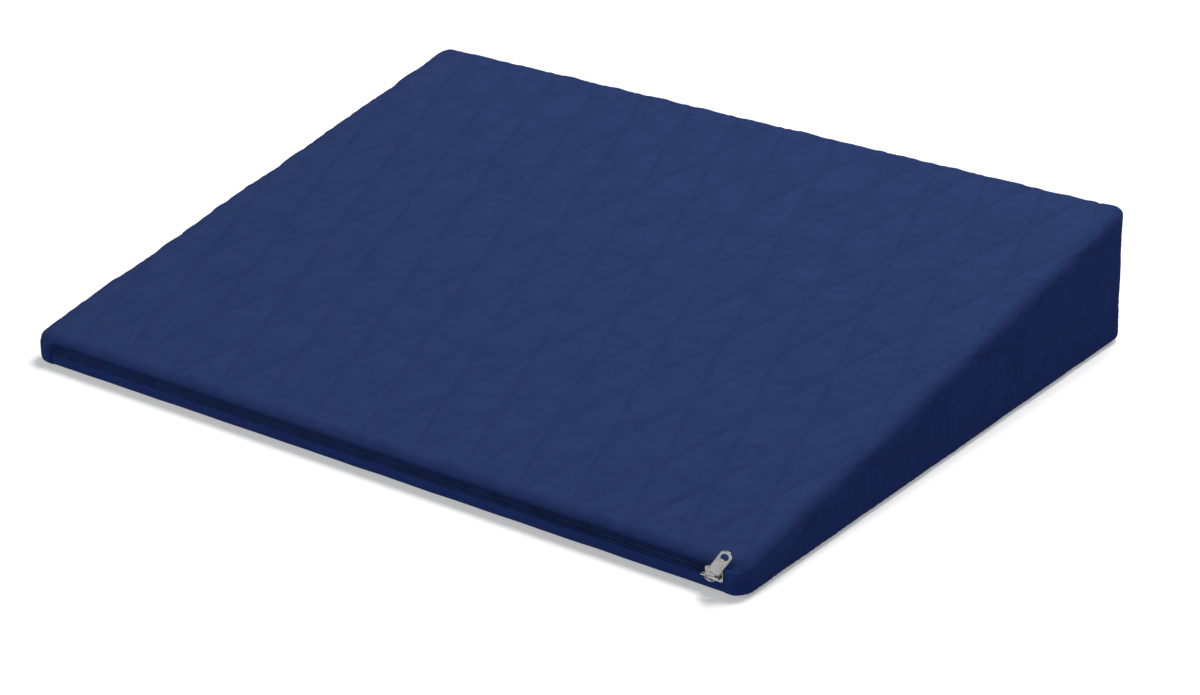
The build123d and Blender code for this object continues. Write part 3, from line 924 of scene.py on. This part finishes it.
def make_coils():
    """The zip's two nylon coils: each turn goes out from the tape's edge, over and back."""
    for name, low, high, inward in (
        ("upper", UPPER_COIL_LOW, UPPER_COIL_HIGH, -1),
        ("lower", LOWER_COIL_LOW, LOWER_COIL_HIGH, 1),
    ):
        root = high.z - COIL_WIRE if inward < 0 else low.z + COIL_WIRE
        head = ZIP_Z + inward * COIL_OVERLAP
        back, front = high.y - COIL_WIRE, low.y + COIL_WIRE
        shift = 0 if inward < 0 else COIL_PITCH / 2
        turns = int((high.x - low.x - COIL_PITCH) / COIL_PITCH)
        line = []
        for k in range(turns):
            x = low.x + COIL_WIRE + shift + k * COIL_PITCH
            line += [
                (x, back, root),
                (x + 0.10 * COIL_PITCH, (back + front) / 2, root - 0.12 * MM * inward),
                (x + 0.16 * COIL_PITCH, front, root + inward * 0.35 * MM),
                (x + 0.22 * COIL_PITCH, front, (root + head) / 2),
                (x + 0.25 * COIL_PITCH, front + 0.15 * MM, head - inward * 0.3 * MM),
                (x + 0.30 * COIL_PITCH, (back + front) / 2, head),
                (x + 0.42 * COIL_PITCH, back, head - inward * 0.3 * MM),
                (x + 0.70 * COIL_PITCH, back, (root + head) / 2),
            ]
        vertices, faces = tube_along(line, COIL_WIRE, 6)
        add_piece(
            f"zip_{name}_coil_turns", "cover", [f"zip_{name}_coil"], vertices, faces, NYLON
        )


# ---------------------------------------------------------------- stitching


def stitches_along(line, normals, stitch, gap):
    """Short rounded stitches laid along a line of points, sunk at their ends."""
    steps = np.linalg.norm(np.diff(line, axis=0), axis=1)
    far = np.concatenate([[0], np.cumsum(steps)])
    parts = []
    for start in np.arange(gap, far[-1] - stitch, stitch + gap):
        at = start + stitch * np.linspace(0, 1, 5)
        points = np.stack([np.interp(at, far, line[:, k]) for k in range(3)], -1)
        normal = np.stack([np.interp(at, far, normals[:, k]) for k in range(3)], -1)
        bow = np.array([-0.9, 0.35, 0.7, 0.35, -0.9])[:, None] * THREAD_R
        parts.append(tube_along(points + normal * bow, THREAD_R, 5))
    return parts


def surface_line(u, v_y):
    """Points of the quilted cover, and its normals, along a line of the unrolled top."""
    x, y = round_corners(u, v_y)
    centre, way, run = edge_place(x, y)
    lift = relief(u, along_slope(v_y))[0] * over_edge(run)
    low = shell_point(centre, way, run, lift)
    return low, shell_point(centre, way, run, lift + MM) / MM - low / MM


def make_quilting_thread():
    """Every row's stitches, in the quilting's valleys."""
    parts = []
    end = REACH_Y - 3.5 * MM
    y = np.linspace(-end, end, 400)
    limit = REACH_X - 0.5 * MM
    for row in range(ROW_COUNT):
        line = all_rows(along_slope(y))[SIDE_ROWS + row]
        inside = np.abs(line) < limit
        breaks = np.nonzero(np.diff(inside.astype(int)))[0] + 1
        for piece in np.split(np.arange(len(y)), breaks):
            if inside[piece[0]] and len(piece) > 4:
                points, normals = surface_line(line[piece], y[piece])
                parts += stitches_along(points, normals, STITCH, STITCH_GAP)
    vertices, faces = join(parts)
    add_piece("quilting_stitches", "cover", ["top_quilting_thread"], vertices, faces, THREAD)


def outline_rim(step, back_only=False):
    """The rim of the unrolled top, as a closed loop, or its back stretch alone."""
    across, along = np.arange(-REACH_X, REACH_X, step), np.arange(-REACH_Y, REACH_Y, step)
    if back_only:
        x, y = across, np.full_like(across, REACH_Y)
    else:
        x = np.concatenate([across, np.full_like(along, REACH_X), -across, np.full_like(along, -REACH_X)])
        y = np.concatenate([np.full_like(across, -REACH_Y), along, np.full_like(across, REACH_Y), -along])
    return np.stack(round_corners(x, y), -1)


def seam_stitches(edge_xy, run, lift):
    """Small stitches along a line on the plain surface."""
    centre, way, _ = edge_place(edge_xy[:, 0], edge_xy[:, 1])
    points = shell_point(centre, way, run, lift + 0 * run)
    normals = (shell_point(centre, way, run, lift + MM + 0 * run) - points) / MM
    return stitches_along(points, normals, SEAM_STITCH, SEAM_GAP)


def make_seam_threads():
    """The stitching of the seams, deep in their folds: over the zip and along the back, round the
    base, and down the two back corners."""
    rim = outline_rim(4 * MM)
    centre, way, _ = edge_place(rim[:, 0], rim[:, 1])
    base = seam_stitches(rim, wall_length(centre, way) - 1.2 * MM, -BASE_SEAM_DIP + 0.1 * MM)
    back = outline_rim(4 * MM, back_only=True)
    front = back[(back[:, 0] > ZIP_LEFT) & (back[:, 0] < ZIP_RIGHT)] * np.array([1, -1])
    top = []
    for edge, depth in ((front, FRONT_SEAM_DIP), (back, TOP_SEAM_DIP)):
        top += seam_stitches(edge, np.full(len(edge), RIM_RUN), 0.1 * MM - depth)
    corners = []
    for sign in (-1, 1):
        corner = np.array([[ARC_X + CORNER_SEAM, ARC_Y + CORNER_SEAM]])
        corner[0, 0] *= sign
        centre, way, _ = edge_place(corner[:, 0], corner[:, 1])
        run = np.linspace(RIM_RUN + 2 * MM, wall_length(centre, way)[0] - 2 * MM, 60)
        corners += seam_stitches(np.repeat(corner, 60, 0), run, -CORNER_SEAM_DIP + 0.1 * MM)
    for name, parts in (("base", base), ("top", top), ("corner", corners)):
        vertices, faces = join(parts)
        add_piece(
            f"{name}_seam_stitches", "cover", [f"{name}_seam_thread"], vertices, faces, THREAD
        )


def make_strip_stitching():
    """The row of stitches that holds the folded strip to the zip's tape."""
    low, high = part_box("zip_tape_stitching")
    x = np.linspace(low.x, high.x, 400)
    z = (low.z + high.z) / 2
    line = np.stack([x, 0 * x + STRIP_LOW.y - 0.36 * MM, 0 * x + z], -1)
    normals = np.broadcast_to(np.array([0, -1.0, 0]), line.shape)
    vertices, faces = join(stitches_along(line, normals, STITCH, STITCH_GAP))
    add_piece("strip_stitches", "cover", ["zip_tape_stitching"], vertices, faces, THREAD)


def finish_kept_nodes():
    """The metal of the frame's own pieces that stay as they are."""
    for name in ("zip_top_stops", "zip_bottom_stop", "zip_slider", "zip_pull_tab"):
        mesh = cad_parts[name].data
        mesh.materials.clear()
        mesh.materials.append(NICKEL)


# ---------------------------------------------------------------- stage, light and camera


def make_stage():
    """A plain pale floor, lit a little from within so that shadows on it stay faint."""
    material, shader, add, links = new_material("pale_floor")
    place = add("ShaderNodeTexCoord").outputs["Object"]
    tone = add("ShaderNodeTexNoise", {"Vector": place, "Scale": 3.0, "Detail": 2.0})
    colour = ramp(add, tone.outputs["Fac"], [(0.3, (0.62, 0.62, 0.62)), (0.7, (0.64, 0.64, 0.64))])
    links.new(colour, shader.inputs["Base Color"])
    shader.inputs["Roughness"].default_value = 0.8
    shader.inputs["Emission Color"].default_value = (1, 1, 1, 1)
    shader.inputs["Emission Strength"].default_value = 0.31
    bpy.ops.mesh.primitive_plane_add(size=14, location=(0, 0, 0))
    floor = bpy.context.object
    floor.name = "floor"
    floor.data.materials.append(material)


def add_light(name, place, aim, size, power):
    """A large soft area light."""
    data = bpy.data.lights.new(name, "AREA")
    data.shape = "DISK"
    data.size = size
    data.energy = power
    lamp = bpy.data.objects.new(name, data)
    lamp.location = place
    lamp.rotation_euler = (Vector(aim) - Vector(place)).to_track_quat("-Z", "Y").to_euler()
    bpy.context.scene.collection.objects.link(lamp)


def make_lights():
    """Soft studio light from above and behind, a fill from the front, and a faint even surround."""
    world = bpy.data.worlds.new("studio")
    world.use_nodes = True
    world.node_tree.nodes["Background"].inputs["Color"].default_value = (1, 1, 1, 1)
    world.node_tree.nodes["Background"].inputs["Strength"].default_value = 0.15
    bpy.context.scene.world = world
    add_light("key", (0.25, 0.95, 2.5), WEDGE_MIDDLE, 1.3, 88)
    add_light("back", (0.7, 2.3, 1.0), WEDGE_MIDDLE, 0.8, 22)
    add_light("front_fill", (-0.7, -2.5, 1.0), WEDGE_MIDDLE, 1.6, 34)


def make_camera():
    """The camera, at the photograph's angle on the wedge."""
    azimuth, elevation, roll = map(math.radians, CAMERA_TURN)
    level = Vector((-math.sin(azimuth), math.cos(azimuth), 0))
    forward = level * math.cos(elevation) - Vector((0, 0, math.sin(elevation)))
    right = Vector((math.cos(azimuth), math.sin(azimuth), 0))
    up = right.cross(forward)
    turned = right * math.cos(roll) + up * math.sin(roll)
    upright = up * math.cos(roll) - right * math.sin(roll)
    rotation = Matrix((turned, upright, -forward)).transposed().to_4x4()
    data = bpy.data.cameras.new("camera")
    data.sensor_width = 36
    data.sensor_fit = "HORIZONTAL"
    data.lens = CAMERA_LENS
    camera = bpy.data.objects.new("camera", data)
    camera.matrix_world = Matrix.Translation(CAMERA_PLACE) @ rotation
    bpy.context.scene.collection.objects.link(camera)
    bpy.context.scene.camera = camera


make_stage()
make_lights()
make_camera()
make_cover()
make_inner_layers()
make_foam()
make_base()
make_front()
make_coils()
make_quilting_thread()
make_seam_threads()
make_strip_stitching()
finish_kept_nodes()
bpy.context.scene.view_settings.view_transform = "Standard"
